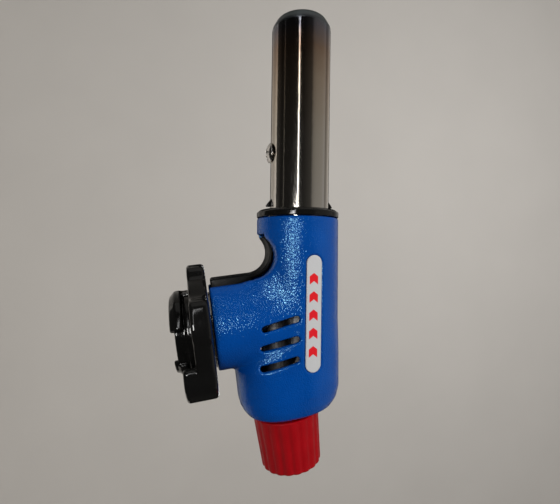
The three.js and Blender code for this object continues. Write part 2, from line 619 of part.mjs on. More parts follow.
piece(torch, 'valve_body', valveBody(), metal(ZINC, 0.45));
piece(torch, 'inlet_nipple', inletNipple(), metal(BRASS, 0.3));
piece(torch, 'inlet_filter', inletFilter(), metal(BRASS, 0.7));
piece(torch, 'inlet_o_ring', ringSeal(2.95, 0.75, -0.1), plastic(RUBBER, 0.6));
piece(torch, 'seat_gasket', seatGasket(), plastic(RUBBER, 0.7));
piece(onSpindle, 'valve_spindle', valveSpindle(), metal(BRASS, 0.3));
piece(onSpindle, 'spindle_o_ring', ringSeal(2.28, 0.4, 15.2), plastic(RUBBER, 0.6));
piece(onSpindle, 'gland_nut', glandNut(), metal(BRASS, 0.35));
piece(onSpindle, 'gas_knob', gasKnob(), plastic(RED, 0.4));
piece(torch, 'cartridge_guide', cartridgeGuide(), plastic(BLACK, 0.4));
piece(torch, 'lock_ring', lockRing(), plastic(BLACK, 0.15));
piece(torch, 'ring_washer', ringWasher(), metal(STEEL, 0.3));
piece(torch, 'trigger', trigger(), plastic(BLACK, 0.35));
piece(onIgniter, 'piezo_body', piezoBody(), plastic(BLACK, 0.5));
piece(onIgniter, 'piezo_plunger', piezoPlunger(), plastic(WHITE, 0.4));
piece(onIgniter, 'return_spring', returnSpring(), metal(STEEL, 0.3));
piece(torch, 'ignition_lead', ignitionLead(), plastic(RED, 0.5));

export default torch;
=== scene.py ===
"""Looks for the clip-on gas torch head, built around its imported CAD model.

The shells, the lock ring and other moulded pieces are distance fields, meshed by surface_net,
because their edges and joins are all rounded. Turned pieces are lathed from profiles. Sizes are
in millimetres until a mesh is made, and MM turns them into metres.
"""

import json
import math

import bmesh
import bpy
import numpy as np
from mathutils import Matrix, Vector


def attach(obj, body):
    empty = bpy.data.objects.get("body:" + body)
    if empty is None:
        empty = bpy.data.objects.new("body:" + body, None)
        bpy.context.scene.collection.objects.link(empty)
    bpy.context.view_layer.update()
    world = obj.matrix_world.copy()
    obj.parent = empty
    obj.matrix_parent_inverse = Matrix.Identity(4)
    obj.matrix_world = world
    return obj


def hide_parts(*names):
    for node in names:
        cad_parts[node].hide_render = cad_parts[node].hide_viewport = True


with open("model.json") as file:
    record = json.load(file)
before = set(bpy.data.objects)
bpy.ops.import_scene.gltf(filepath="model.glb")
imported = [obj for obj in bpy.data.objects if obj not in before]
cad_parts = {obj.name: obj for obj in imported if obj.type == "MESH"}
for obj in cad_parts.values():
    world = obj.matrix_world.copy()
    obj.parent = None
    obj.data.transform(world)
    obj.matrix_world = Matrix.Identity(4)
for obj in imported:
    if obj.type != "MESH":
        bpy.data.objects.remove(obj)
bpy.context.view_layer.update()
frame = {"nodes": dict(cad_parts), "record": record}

MM = 0.001

# ------------------------------------------------------------------ driving dimensions, after the CAD

# The axes that everything is set out from
RISE = math.radians(7.6)
BODY_RISE = math.radians(7.05)
BARREL_Z = 38.4
BODY_Z = BARREL_Z - 0.24
KNOB_Z = 29.6

# The body: a barrel, an upright branch or neck, and a rear that runs down to the knob
WALL = 2.0
BODY_R = 15.2
BODY_BACK, BODY_FRONT = -26, 36.4
BRANCH_R = 14.7
BRANCH_END = 6.9
BOTTOM_X = -33.4
FLOOR_Z = 12.8  # the underside of the rear
SQUARER_AT = -14.5  # where the rear body's section has become its squarest
REAR_RINGS = [  # x, low, high, half width
    (0.0, 23.0, 53.4, 15.2),
    (SQUARER_AT, FLOOR_Z, 51.6, 15.2),
    (-26.0, FLOOR_Z, 50.2, 15.2),
    (-29.5, 13.7, 48.8, 14.9),
    (-31.9, 15.3, 46.6, 14.1),
    (BOTTOM_X, 17.7, 43.2, 12.7),
]
NECK_SWELL = 2.4  # how much thicker the neck is towards the front
SWELL_FROM, SWELL_FULL = 60, 22  # degrees from straight ahead
NECK_FILLET = ((-8, 4), (2.0, 8.5))  # places along X, and how deep the fillet is there
NOTCH_X, NOTCH_Z, NOTCH_R = 24.6, 22.6, 8.1
PAD_X = 16.0
PAD_BLOCK = ((0, -6, NOTCH_Z + 1), (25, 6, 32))  # fills the corner over the finger pad

# Openings and rooms in the body
GUIDE_SEAT = 3.0  # depth of the bore in the neck's end that the cartridge guide sits in
ARM_PATH = ((-13.2, -7, 15.5), (0, 7, 21.9))
TRIGGER_SLOT = ((9, -5.9, 4), (31.8, 5.9, 33.4))
KNOB_BORE_R, KNOB_BORE_START = 8.0, 27
SEAM_GAP = 0.07  # each shell stops this far from the middle
VENT_LENGTH, VENT_WIDTH, VENT_PITCH = 13.6, 2.2, 6.8
VENT_S, VENT_W, VENT_SLOPE = -7.3, -9.4, 0.29

# The labels, and the chevrons printed on them
LABEL_LENGTH, LABEL_WIDTH, LABEL_S, LABEL_W = 40.0, 5.6, 3.0, 1.8
LABEL_SINK, LABEL_GAP = 0.5, 0.3
FILM_PROUD, FILM_DEEP = 0.06, 0.4
PRINT_HALF_LENGTH, PRINT_HALF_WIDTH, PRINT_SHIFT = 15.2, 1.55, 0.2
CHEVRON_SLOPE, CHEVRON_STEP, CHEVRON_GAP = 0.75, 3.1, 1.7

# The shell screws: x, z of each, and the posts round their heads
CORNER_SCREW = (-30.2, 17.0)
SHELL_SCREWS = [(-23.0, 44.6), CORNER_SCREW, (-9.6, 11.6), (18.6, 50.2)]
SCREW_SEAT = -6.0
POST_R, COUNTERBORE_R, POST_FLOOR = 4.0, 3.1, 1.2
CORNER_POST_R, CORNER_POST_END = 3.5, -8.2  # the body curves away from this post, so it stands clear

# The flame tube, its ears and the collar
TUBE_R, TUBE_WALL = 11.0, 0.8
TUBE_BACK, TUBE_TIP = 31.0, 110.2
TUBE_GAP = 0.35
LIP_START, LIP_FULL = TUBE_TIP - 4.2, TUBE_TIP - 3.4
EAR_AT, EAR_HALF = 1.3, 1.6
COLLAR_R, COLLAR_TOP = 15.3, 39.4

# The flame holder and the screw that holds it
HOLDER_AT = 60.5
HOLDER_HOLES = [(10, 7.7, 1.05, 0.5, 0.3), (16, 4.6, 0.4, 0, 0.15)]  # count, circle, radius, turn, edge
SCREW_HEAD_R, SCREW_SHANK_R = 3.9, 2.0
SCREW_BASE, SCREW_END = TUBE_R + 0.15, 6.6  # distances from the tube's axis, as is DOME_CENTRE
DOME_CENTRE, DOME_R = 7.6, 5.4
CROSS_HALF, CROSS_REACH = 0.42, 2.3

# The lock ring. Sectors are a middle and a width in degrees
RING_TOP = 6.2
RING_LOBE_R, RING_VALLEY_R, RING_LOBES = 23.8, 20.2, 5
RING_TURN = math.radians(-2)
RING_BORE_R, SOCKET_R, SOCKET_TOP = 9.5, 11.1, -1.2
BOSS_R, BOSS_END = 12.9, -7.0
STEP_R, STEP_END = 14.4, -2.0
THICK_LOBE, THICK_END, THICK_INNER_R = (142, 52), -4.3, 17.5
BOSS_GAP, BOSS_GAP_DEEP = (100, 50), 1.3
LUGS = [(38, 72, 15.5), (146, 40, 14.0), (262, 60, 15.5)]  # sector and radius
LUG_TOP = -2.8
STOP, STOP_R, STOP_TOP = (10, 16), 15.3, 0.5

# The gas knob, from its axis and along it
KNOB_START, KNOB_END = 33.9, 53.2
KNOB_R, KNOB_END_R = 12.2, 10.9
KNOB_FLANGE_R, KNOB_FLANGE_START, KNOB_FLANGE_END = 9.4, 29.3, 31.1
KNOB_NECK_R, KNOB_HOLE_R = 7.6, 2.4
FLUTES, FLUTE_DEPTH = 20, 0.36

# The trigger: its face, its two arms and the bar that joins them
TRIGGER_X, TRIGGER_Z, TRIGGER_R, TRIGGER_THICK = 25.8, 22.1, 7.6, 1.4
TRIGGER_HALF, TRIGGER_TIP = 5.5, 52  # half width, and the angle at which the face ends
ARM_BACK, ARM_FRONT, ARM_LOW, ARM_HIGH = -8.6, 10.2, 16.1, 21.3
ARM_Y, ARM_HALF = 5.55, 0.85
BAR_FRONT, BAR_HALF = -6.6, 6.4

# ------------------------------------------------------------------ meshing

SHELL_PITCH = 0.4
RING_PITCH = 0.34
LABEL_PITCH, HOLDER_PITCH, SCREW_PITCH = 0.2, 0.3, 0.16
EDGE = 0.7  # rounding of moulded edges, as a blend depth
SHARP = 0.01  # blend depth where an edge is left sharp
SMOOTHINGS = (0.6, 0.6, 0.3, 0.0)  # how far vertices move to their neighbours' middle, pass by pass

# ------------------------------------------------------------------ camera and light

CAMERA_TILT = math.radians(6.8)
CAMERA_YAW = math.radians(12)
AIM = np.array([24.6, 0.0, 34.5])
DISTANCE = 140.3
SENSOR, LENS = 36, 24.10714
WARM = (1.0, 0.985, 0.965)

ACROSS = np.array([-math.sin(CAMERA_TILT), 0, math.cos(CAMERA_TILT)])
UPWARDS = np.array([math.cos(CAMERA_TILT), 0, math.sin(CAMERA_TILT)])
SIDEWAYS = np.array([0.0, 1.0, 0.0])
RIGHT = ACROSS * math.cos(CAMERA_YAW) + SIDEWAYS * math.sin(CAMERA_YAW)
BACK = -ACROSS * math.sin(CAMERA_YAW) + SIDEWAYS * math.cos(CAMERA_YAW)


# ------------------------------------------------------------------ frames

class Axis:
    """A tilted axis: `along` it, `across` the part and `down` towards the cartridge."""

    def __init__(self, origin, along):
        self.origin = np.array(origin, float)
        self.along = np.array(along, float)
        self.across = np.array([0.0, 1.0, 0.0])
        self.down = np.cross(self.across, self.along)

    def local(self, x, y, z):
        """Offsets down and across, and distances along the axis, of points given as three arrays."""
        ox, oy, oz = self.origin
        s = (x - ox) * self.along[0] + (z - oz) * self.along[2]
        w = (x - ox) * self.down[0] + (z - oz) * self.down[2]
        return w, y - oy, s

    def place(self, down, across, along):
        """World points for local ones."""
        down, across, along = np.broadcast_arrays(down, across, along)
        return (self.origin + down[..., None] * self.down + across[..., None] * self.across
                + along[..., None] * self.along)


BARREL = Axis((0, 0, BARREL_Z), (math.cos(RISE), 0, math.sin(RISE)))
BODY = Axis((0, 0, BODY_Z), (math.cos(BODY_RISE), 0, math.sin(BODY_RISE)))
SPINDLE = Axis((0, 0, KNOB_Z), (-1, 0, 0))


# ------------------------------------------------------------------ distance fields

def union(a, b, k):
    """Union with a fillet about k deep."""
    h = np.clip(0.5 + 0.5 * (b - a) / k, 0, 1)
    return b * (1 - h) + a * h - k * h * (1 - h)


def meet(a, b, k):
    """Intersection with its edges rounded."""
    return -union(-a, -b, k)


def carve(a, tool, k):
    return meet(a, -tool, k)


def fillet(a, b, depth, pitch):
    """Union whose fillet fades where the two surfaces run the same way, so they don't swell there."""
    ga, gb = np.gradient(a, pitch), np.gradient(b, pitch)
    same = sum(p * q for p, q in zip(ga, gb))
    size = np.sqrt(sum(p * p for p in ga) * sum(q * q for q in gb)) + 1e-9
    return union(a, b, depth * np.clip(1.8 * (1 - same / size), 0.1, 1) + 1e-3)


def box_field(x, y, z, low, high):
    middle = (np.array(low) + np.array(high)) / 2
    half = (np.array(high) - np.array(low)) / 2
    gaps = [np.abs(v - m) - h for v, m, h in zip((x, y, z), middle, half)]
    outside = np.sqrt(sum(np.maximum(g, 0) ** 2 for g in gaps))
    return outside + np.minimum(np.maximum(np.maximum(gaps[0], gaps[1]), gaps[2]), 0)


def pill_field(u, v, length, width):
    """Distance to a slot with round ends along u."""
    reach = (length - width) / 2
    return np.hypot(u - np.clip(u, -reach, reach), v) - width / 2


def sample_box(low, high, pitch):
    axes = [np.arange(a, b + pitch, pitch) for a, b in zip(low, high)]
    return np.meshgrid(*axes, indexing="ij")


def trilinear(field, places):
    base = np.clip(np.floor(places).astype(int), 0, np.array(field.shape) - 2)
    part = places - base
    total = 0
    for corner in np.ndindex(2, 2, 2):
        weight = np.prod(np.where(corner, part, 1 - part), axis=1)
        i, j, k = (base + corner).T
        total = total + weight * field[i, j, k]
    return total


def surface_net(field, low, pitch):
    """Vertices in millimetres and quads of the surface where the field is zero."""
    cells = np.array(field.shape) - 1
    corners = {c: field[c[0]:cells[0] + c[0], c[1]:cells[1] + c[1], c[2]:cells[2] + c[2]]
               for c in np.ndindex(2, 2, 2)}
    below = sum((v < 0).astype(np.int8) for v in corners.values())
    active = np.argwhere((below > 0) & (below < 8))
    i, j, k = active.T
    values = {c: v[i, j, k] for c, v in corners.items()}
    total = np.zeros((len(active), 3))
    count = np.zeros(len(active))
    for axis in range(3):
        for start in np.ndindex(2, 2, 2):
            if start[axis]:
                continue
            end = tuple(1 if n == axis else c for n, c in enumerate(start))
            a, b = values[start], values[end]
            crossed = (a < 0) != (b < 0)
            point = np.tile(np.array(start, float), (len(active), 1))
            point[crossed, axis] = (a / np.where(crossed, a - b, 1))[crossed]
            total[crossed] += point[crossed]
            count += crossed
    places = active + total / count[:, None]
    index = -np.ones(cells, int)
    index[i, j, k] = np.arange(len(active))
    quads = net_quads(field, index)
    places = settle(places, quads, field)
    return places * pitch + np.array(low), quads


def net_quads(field, index):
    """A quad through the four cells round each grid edge that the surface crosses, facing out."""
    quads = []
    for axis in range(3):
        others = [n for n in range(3) if n != axis]
        start = [slice(1, -1)] * 3
        start[axis] = slice(0, -1)
        end = list(start)
        end[axis] = slice(1, None)
        a, b = field[tuple(start)], field[tuple(end)]
        place = np.argwhere((a < 0) != (b < 0))
        place[:, others] += 1
        out = (a < 0)[(a < 0) != (b < 0)]
        ring = []
        for step in ((0, 0), (1, 0), (1, 1), (0, 1)):
            cell = place.copy()
            cell[:, others] -= step
            ring.append(index[tuple(cell.T)])
        ring = np.stack(ring, 1)
        flip = out if axis != 1 else ~out
        quads.append(np.where(flip[:, None], ring, ring[:, ::-1]))
    return np.concatenate(quads)


def settle(places, quads, field):
    """Evens the net out, and puts its vertices back on the surface each time."""
    slopes = np.gradient(field)
    for smoothing in SMOOTHINGS:
        if smoothing:
            total = np.zeros_like(places)
            count = np.zeros(len(places))
            for a, b in ((0, 1), (1, 2), (2, 3), (3, 0)):
                for one, other in ((a, b), (b, a)):
                    np.add.at(total, quads[:, one], places[quads[:, other]])
                    np.add.at(count, quads[:, one], 1)
            places = places + smoothing * (total / np.maximum(count, 1)[:, None] - places)
        for _ in range(2):
            value = trilinear(field, places)
            slope = np.stack([trilinear(s, places) for s in slopes], 1)
            step = slope * (value / np.maximum((slope ** 2).sum(1), 1e-4))[:, None]
            places = places - np.clip(step, -0.5, 0.5)
    return places


# ------------------------------------------------------------------ meshes

def linked(name, data):
    thing = bpy.data.objects.new(name, data)
    bpy.context.scene.collection.objects.link(thing)
    return thing


def mesh_object(name, points, faces):
    """A smooth mesh from points in millimetres and faces of one length."""
    mesh = bpy.data.meshes.new(name)
    faces = np.asarray(faces, np.int32)
    mesh.vertices.add(len(points))
    mesh.vertices.foreach_set("co", (np.asarray(points, float) * MM).ravel())
    mesh.loops.add(faces.size)
    mesh.loops.foreach_set("vertex_index", faces.ravel())
    mesh.polygons.add(len(faces))
    mesh.polygons.foreach_set("loop_start", np.arange(0, faces.size, faces.shape[1], dtype=np.int32))
    mesh.polygons.foreach_set("use_smooth", np.full(len(faces), True))
    mesh.update(calc_edges=True)
    mesh.validate()
    return linked(name, mesh)


def net_object(name, field, low, pitch):
    points, quads = surface_net(field, low, pitch)
    return mesh_object(name, points, quads)


def rounded(points, steps=5):
    """A closed outline whose corners are arcs. Each point is (r, s, corner radius)."""
    path = []
    count = len(points)
    for n, (r, s, radius) in enumerate(points):
        corner = np.array([r, s], float)
        if radius == 0:
            path.append(corner)
            continue
        before = np.array(points[n - 1][:2], float) - corner
        after = np.array(points[(n + 1) % count][:2], float) - corner
        before /= np.linalg.norm(before)
        after /= np.linalg.norm(after)
        half = math.acos(np.clip(before @ after, -1, 1)) / 2
        centre = corner + (before + after) / np.linalg.norm(before + after) * radius / math.sin(half)
        first = corner + before * radius / math.tan(half) - centre
        last = corner + after * radius / math.tan(half) - centre
        turn = math.atan2(first[0] * last[1] - first[1] * last[0], first @ last)
        for step in range(steps + 1):
            angle = turn * step / steps
            c, d = math.cos(angle), math.sin(angle)
            path.append(centre + np.array([c * first[0] - d * first[1], d * first[0] + c * first[1]]))
    return np.array(path)


def braced(path):
    """Extra points near both ends of each long step, so that shading turns only at the corners."""
    points = []
    for start, end in zip(path, np.roll(path, -1, axis=0)):
        points.append(start)
        length = np.linalg.norm(end - start)
        if length > 1.0:
            points += [start + (end - start) * t for t in (0.2 / length, 1 - 0.2 / length)]
    return np.array(points)


def spin_net(path, axis, segments, radius=None):
    """Points and quads of a closed outline turned round an axis. radius(r, s, angle) may vary it."""
    angles = np.linspace(0, 2 * np.pi, segments, endpoint=False)
    r, s = path[:, 0][None, :], path[:, 1][None, :]
    turn = angles[:, None]
    r = np.broadcast_to(r, (segments, len(path))) if radius is None else radius(r, s, turn)
    points = axis.place(r * np.cos(turn), r * np.sin(turn), s + 0 * turn).reshape(-1, 3)
    i, j = np.meshgrid(np.arange(segments), np.arange(len(path)), indexing="ij")
    i, j = i.ravel(), j.ravel()
    across, along = (i + 1) % segments, (j + 1) % len(path)
    n = len(path)
    quads = np.stack([i * n + j, across * n + j, across * n + along, i * n + along], 1)
    return points, quads


def outward(thing):
    """Points every face away from the solid, and merges what meets on an axis."""
    net = bmesh.new()
    net.from_mesh(thing.data)
    bmesh.ops.remove_doubles(net, verts=net.verts, dist=1e-7)
    bmesh.ops.dissolve_degenerate(net, edges=net.edges, dist=1e-7)
    bmesh.ops.recalc_face_normals(net, faces=net.faces)
    net.to_mesh(thing.data)
    net.free()
    return thing


def lathe(name, outline, axis, segments, radius=None):
    points, quads = spin_net(braced(rounded(outline)), axis, segments, radius)
    return outward(mesh_object(name, points, quads))


def joined(name, things):
    """One object from several."""
    bpy.ops.object.select_all(action="DESELECT")
    for thing in things:
        thing.select_set(True)
    bpy.context.view_layer.objects.active = things[0]
    bpy.ops.object.join()
    things[0].name = name
    return things[0]


def prism(name, sides, bevel, segments, every_edge=False):
    """A solid between two matching outlines, with the edges of its ends, or all of them, rounded."""
    net = bmesh.new()
    rows = [[net.verts.new(Vector(point) * MM) for point in side] for side in sides]
    rims = [net.faces.new(row) for row in rows]
    count = len(rows[0])
    for n in range(count):
        m = (n + 1) % count
        net.faces.new([rows[0][n], rows[0][m], rows[1][m], rows[1][n]])
    bmesh.ops.recalc_face_normals(net, faces=net.faces)
    edges = net.edges[:] if every_edge else [edge for rim in rims for edge in rim.edges]
    bmesh.ops.bevel(net, geom=edges, offset=bevel * MM, segments=segments, affect="EDGES", profile=0.5)
    mesh = bpy.data.meshes.new(name)
    net.to_mesh(mesh)
    net.free()
    return linked(name, mesh)


def extruded(name, outline, half, bevel, segments=3):
    """An outline of x, z points across the part, with its long edges rounded."""
    sides = [np.array([[x, y, z] for x, z in outline]) for y in (-half, half)]
    thing = prism(name, sides, bevel, segments)
    shade_by_angle(thing, 40)
    return thing


def shade_by_angle(thing, degrees):
    bpy.ops.object.select_all(action="DESELECT")
    thing.select_set(True)
    bpy.context.view_layer.objects.active = thing
    bpy.ops.object.shade_smooth_by_angle(angle=math.radians(degrees))


# ------------------------------------------------------------------ materials

class Look:
    """A node material round one Principled shader. Sizes in its textures are in millimetres."""

    def __init__(self, name, colour, roughness, metallic=0.0, **inputs):
        self.material = bpy.data.materials.new(name)
        self.material.use_nodes = True
        self.nodes = self.material.node_tree.nodes
        self.links = self.material.node_tree.links
        self.shader = self.nodes["Principled BSDF"]
        self.set("Base Color", (*colour, 1))
        self.set("Roughness", roughness)
        self.set("Metallic", metallic)
        for key, value in inputs.items():
            self.set(key.replace("_", " "), value)
        self.place = self.nodes.new("ShaderNodeTexCoord").outputs["Object"]

    def set(self, name, value):
        self.shader.inputs[name].default_value = value

    def join(self, source, name):
        self.links.new(source, self.shader.inputs[name])

    def node(self, kind, inputs=(), **settings):
        made = self.nodes.new(kind)
        for key, value in settings.items():
            setattr(made, key, value)
        for key, value in dict(inputs).items():
            if isinstance(value, bpy.types.NodeSocket):
                self.links.new(value, made.inputs[key])
            else:
                made.inputs[key].default_value = value
        return made

    def maths(self, operation, *values):
        return self.node("ShaderNodeMath", dict(enumerate(values)), operation=operation).outputs[0]

    def noise(self, size, detail, stretch=None):
        place = self.place
        if stretch is not None:
            place = self.node("ShaderNodeMapping", {"Vector": place, "Scale": stretch}).outputs[0]
        return self.node("ShaderNodeTexNoise", {
            "Vector": place, "Scale": 1 / (size * MM), "Detail": detail,
        }).outputs["Fac"]

    def ramp(self, factor, stops):
        made = self.node("ShaderNodeValToRGB", {"Fac": factor})
        bar = made.color_ramp.elements
        while len(bar) < len(stops):
            bar.new(0.5)
        for element, (position, colour) in zip(bar, stops):
            element.position = position
            element.color = (*colour, 1)
        return made.outputs["Color"]

    def spread(self, factor, low, high, to_low=0.0, to_high=1.0):
        return self.node("ShaderNodeMapRange", {
            "Value": factor, "From Min": low, "From Max": high, "To Min": to_low, "To Max": to_high,
        }).outputs["Result"]

    def mix(self, factor, a, b):
        return self.node("ShaderNodeMix", {0: factor, 6: (*a, 1), 7: (*b, 1)}, data_type="RGBA").outputs[2]

    def clouds(self, size, detail, low=0.3, high=0.7, to_low=0.0, to_high=1.0):
        """A noise whose middle values are spread over a range."""
        return self.spread(self.noise(size, detail), low, high, to_low, to_high)

    def bump(self, height, depth):
        """Relief of a depth in millimetres."""
        made = self.node("ShaderNodeBump", {"Height": height, "Distance": depth * MM})
        self.join(made.outputs["Normal"], "Normal")

    def measure(self, origin, direction):
        """Distance from a point in a direction, in millimetres."""
        offset = self.node("ShaderNodeVectorMath", {0: self.place, 1: tuple(origin * MM)},
                           operation="SUBTRACT").outputs[0]
        return self.node("ShaderNodeVectorMath", {0: offset, 1: tuple(direction / MM)},
                         operation="DOT_PRODUCT").outputs["Value"]


def blue_plastic():
    """Spark-eroded texture: fine bumps that glint one by one where a light is mirrored."""
    look = Look("blue_plastic", (0.0, 0.045, 0.24), 0.12, Specular_IOR_Level=0.8,
                Specular_Tint=(0.36, 0.8, 1.0, 1))
    look.join(look.mix(look.clouds(9, 2), (0.0, 0.038, 0.21), (0.0, 0.044, 0.235)), "Base Color")
    look.join(look.clouds(1.1, 2, 0.35, 0.65, 0.12, 0.2), "Roughness")
    look.bump(look.noise(0.44, 0), 0.14)
    return look.material


def red_plastic():
    look = Look("red_plastic", (0.26, 0.001, 0.004), 0.42, Specular_IOR_Level=0.15)
    look.join(look.mix(look.clouds(6, 2), (0.225, 0.0005, 0.003), (0.255, 0.001, 0.004)), "Base Color")
    look.join(look.clouds(1.5, 3, 0.3, 0.7, 0.38, 0.5), "Roughness")
    look.bump(look.noise(0.5, 2), 0.02)
    return look.material


def black_gloss():
    look = Look("black_gloss", (0.004, 0.004, 0.004), 0.1, Specular_IOR_Level=0.4)
    look.join(look.clouds(2.5, 4, 0.35, 0.75, 0.06, 0.16), "Roughness")
    look.bump(look.noise(5, 2), 0.03)
    return look.material


def black_satin(name, base, roughness, specular):
    look = Look(name, (base, base, base * 1.04), roughness, Specular_IOR_Level=specular)
    look.join(look.clouds(1.6, 3, 0.3, 0.7, roughness - 0.05, roughness + 0.07), "Roughness")
    look.bump(look.noise(0.35, 2), 0.015)
    return look.material


def plain(name, colour, roughness, grain, detail, depth):
    """An even material with a fine relief. Its grain and depth are in millimetres."""
    look = Look(name, colour, roughness)
    look.bump(look.noise(grain, detail), depth)
    return look.material


def stainless():
    """Polished tube: straw and brown heat colours towards the muzzle, blue at the tip, dark lip."""
    look = Look("stainless", (0.6, 0.56, 0.5), 0.1, 1.0)
    along = look.measure(BARREL.origin, BARREL.along)
    wandering = look.maths("MULTIPLY_ADD", look.noise(7, 3), 7.0, along)
    tint = look.ramp(look.spread(wandering, 40, 118), [
        (0.0, (0.66, 0.63, 0.59)), (0.35, (0.62, 0.57, 0.50)), (0.62, (0.52, 0.42, 0.33)),
        (0.78, (0.36, 0.25, 0.18)), (0.87, (0.20, 0.19, 0.22)), (0.94, (0.17, 0.21, 0.22)),
        (0.975, (0.038, 0.032, 0.023))])
    look.join(tint, "Base Color")
    lip = look.spread(along, LIP_START, LIP_FULL)
    brushing = look.noise(0.25, 2, stretch=(0.05, 1, 1))
    polish = look.spread(brushing, 0.3, 0.7, 0.07, 0.15)
    look.join(look.maths("MULTIPLY_ADD", lip, 0.32, polish), "Roughness")
    look.bump(look.noise(3.0, 3), 0.03)
    return look.material


def plated(name, colour, roughness, depth=0.01):
    look = Look(name, colour, roughness, 1.0)
    darker = tuple(0.7 * c for c in colour)
    look.join(look.mix(look.clouds(2.0, 4, 0.35, 0.65), darker, colour), "Base Color")
    look.join(look.clouds(0.9, 3, 0.3, 0.7, roughness - 0.06, roughness + 0.1), "Roughness")
    look.bump(look.noise(0.4, 3), depth)
    return look.material


def label_film():
    """White film printed with a row of plain red chevrons."""
    white, red = (0.375, 0.38, 0.39), (0.5, 0.008, 0.014)
    look = Look("label", white, 0.5, Specular_IOR_Level=0.2)
    along = look.measure(BARREL.origin, BARREL.along)
    down = look.measure(BARREL.origin, BARREL.down)
    aside = look.maths("ABSOLUTE", look.maths("SUBTRACT", down, PRINT_SHIFT - LABEL_W))
    slanted = look.maths("MULTIPLY_ADD", aside, CHEVRON_SLOPE, along)
    wave = look.maths("PINGPONG", slanted, CHEVRON_STEP)
    stripe = look.maths("GREATER_THAN", wave, CHEVRON_GAP)
    inside = look.maths("LESS_THAN", aside, PRINT_HALF_WIDTH)
    middle = look.maths("COMPARE", along, LABEL_S, PRINT_HALF_LENGTH)
    printed = look.maths("MULTIPLY", look.maths("MULTIPLY", stripe, inside), middle)
    look.join(look.mix(printed, white, red), "Base Color")
    look.join(look.clouds(2.0, 2, 0.3, 0.7, 0.45, 0.55), "Roughness")
    return look.material


LOOKS = {
    "blue_plastic": blue_plastic(),
    "red_plastic": red_plastic(),
    "black_gloss": black_gloss(),
    "black_satin": black_satin("black_satin", 0.012, 0.42, 0.3),
    "trigger_plastic": black_satin("trigger_plastic", 0.002, 0.36, 0.12),
    "white_plastic": plain("white_plastic", (0.6, 0.6, 0.57), 0.4, 0.6, 2, 0.01),
    "label": label_film(),
    "stainless": stainless(),
    "zinc_screw": plated("zinc_screw", (0.85, 0.82, 0.78), 0.16),
    "washer_steel": plated("washer_steel", (0.75, 0.74, 0.72), 0.22),
    "steel_wire": plated("steel_wire", (0.5, 0.48, 0.46), 0.28),
    # The casting's grey is darker than bare zinc: partly its dull finish, partly painted shade for the
    # inside of the vents, where it shows
    "zinc_casting": plated("zinc_casting", (0.36, 0.36, 0.37), 0.35, 0.04),
    "brass": plated("brass", (0.62, 0.44, 0.18), 0.25),
    "sintered_bronze": plated("sintered_bronze", (0.4, 0.27, 0.13), 0.6, 0.06),
    "ceramic": plain("ceramic", (0.72, 0.70, 0.65), 0.25, 1.5, 2, 0.01),
    "rubber": plain("rubber", (0.014, 0.014, 0.014), 0.65, 0.4, 3, 0.02),
    # The lead's sleeve is near black: partly its own colour, partly painted shade for the inside of the
    # vents, where it shows
    "lead_sleeve": plain("lead_sleeve", (0.02, 0.014, 0.012), 0.5, 0.8, 2, 0.02),
}


def finish(thing, slot, body, *replaced):
    """Gives a new piece its material, its body and the CAD nodes that it stands for."""
    thing.data.materials.clear()
    thing.data.materials.append(LOOKS[slot])
    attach(thing, body)
    if replaced:
        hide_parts(*replaced)


def dress_cad_nodes():
    slots = {row["node"]: row["material_slot"] for row in frame["record"]["subparts"]}
    for name, node in frame["nodes"].items():
        node.data.materials.clear()
        node.data.materials.append(LOOKS[slots[name]])


# ------------------------------------------------------------------ body shells

def rear_field(x, y, z, pitch):
    """The rear of the body: its section changes along X, with softened steps between the rings."""
    rings = np.array(sorted(REAR_RINGS))
    place = np.clip(x[:, 0, 0], BOTTOM_X, 0)
    low, high, half = (
        sum(np.interp(place + step, rings[:, 0], rings[:, n]) for step in (-0.4, 0, 0.4)) / 3
        for n in (1, 2, 3))
    low, high, half = (v[:, None, None] for v in (low, high, half))
    power = 2.0 + 0.5 * np.clip(place / SQUARER_AT, 0, 1)[:, None, None]
    middle, tall = (low + high) / 2, (high - low) / 2
    section = (np.abs(y / half) ** power + np.abs((z - middle) / tall) ** power) ** (1 / power) - 1
    slope = np.sqrt(sum(g * g for g in np.gradient(section, pitch)))
    section = section / np.maximum(slope, 0.02)
    return meet(meet(section, BOTTOM_X - x, 2.2), x, SHARP)


def neck_field(x, y, z):
    """The upright neck, which swells towards the front and is cut flat there for the finger pad."""
    turned = np.degrees(np.arctan2(np.abs(y), x))
    swell = np.clip((SWELL_FROM - turned) / (SWELL_FROM - SWELL_FULL), 0, 1)
    upright = np.hypot(x, y) - BRANCH_R - NECK_SWELL * swell ** 2 * (3 - 2 * swell)
    upright = meet(upright, x - PAD_X, 0.8)
    return meet(meet(upright, BRANCH_END - z, EDGE), z - BARREL_Z, SHARP)


def outside_field(x, y, z, pitch):
    """The whole body from outside. The neck's fillets fade out at the barrel's axis, where it ends."""
    w, a, s = BODY.local(x, y, z)
    barrel = meet(meet(np.hypot(w, a) - BODY_R, s - BODY_FRONT, EDGE), BODY_BACK - s, SHARP)
    body = np.minimum(barrel, rear_field(x, y, z, pitch))
    below = np.clip((BARREL_Z - z) / 3, 0, 1)
    depth = np.interp(x[:, 0, 0], *NECK_FILLET)[:, None, None]
    body = fillet(body, neck_field(x, y, z), depth * below, pitch)
    body = fillet(body, box_field(x, y, z, *PAD_BLOCK) - 2.0, 5.0 * below, pitch)
    notch = np.hypot(x - NOTCH_X, z - NOTCH_Z) - NOTCH_R
    opened = np.minimum(notch, np.maximum(PAD_X + 0.2 - x, z - NOTCH_Z))
    return carve(body, opened, 1.2)


